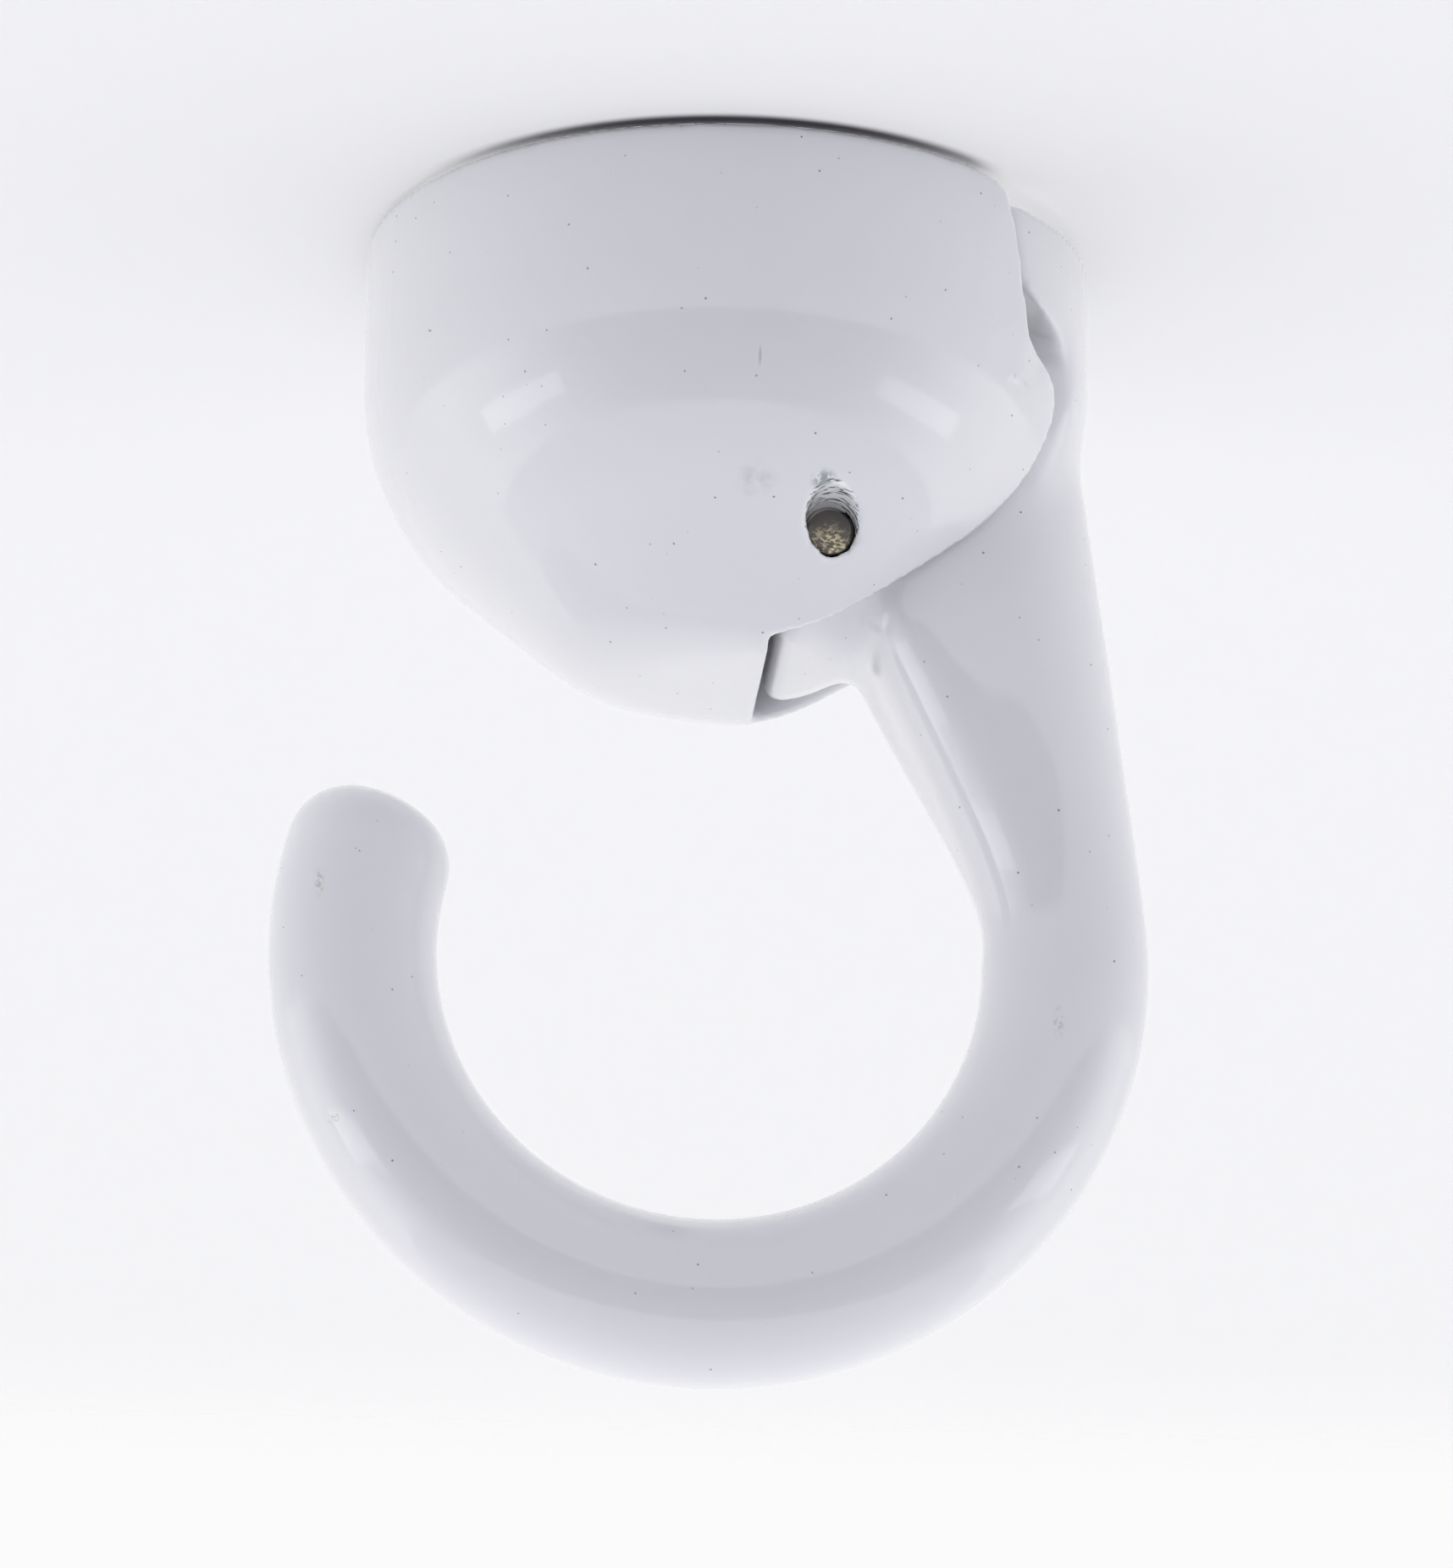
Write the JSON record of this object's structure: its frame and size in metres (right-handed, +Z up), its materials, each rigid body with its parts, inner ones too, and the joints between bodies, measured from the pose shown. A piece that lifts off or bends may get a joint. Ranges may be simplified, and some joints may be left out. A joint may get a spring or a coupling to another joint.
{
  "type": "ceiling hook",
  "caption": "White cast ceiling hook: a domed cup that screws on a ceiling stud, and an open ring hook that swings in the cup's slot on a pin.",
  "frame": {"origin": "centre of the cup's ceiling face, at the mouth of the stud bore", "axes": "+Z up into the ceiling, +X towards the cup's slot and the hook's lug, Y along the hinge pin"},
  "size_m": [0.0524, 0.0434, 0.0708],
  "materials": {
    "white_paint": "gloss",
    "bare_steel": "satin"
  },
  "bodies": {
    "cup": {"ceiling_cup": "white_paint", "hinge_pin": "bare_steel"},
    "swing_hook": {"hook": "white_paint"}
  },
  "joints": [
    {"name": "hook_swing", "type": "hinge", "parent": "cup", "child": "swing_hook", "pos_m": [0.0058, 0, -0.0217], "axis": [0, 1, 0], "range_deg": [0, 40]}
  ]
}
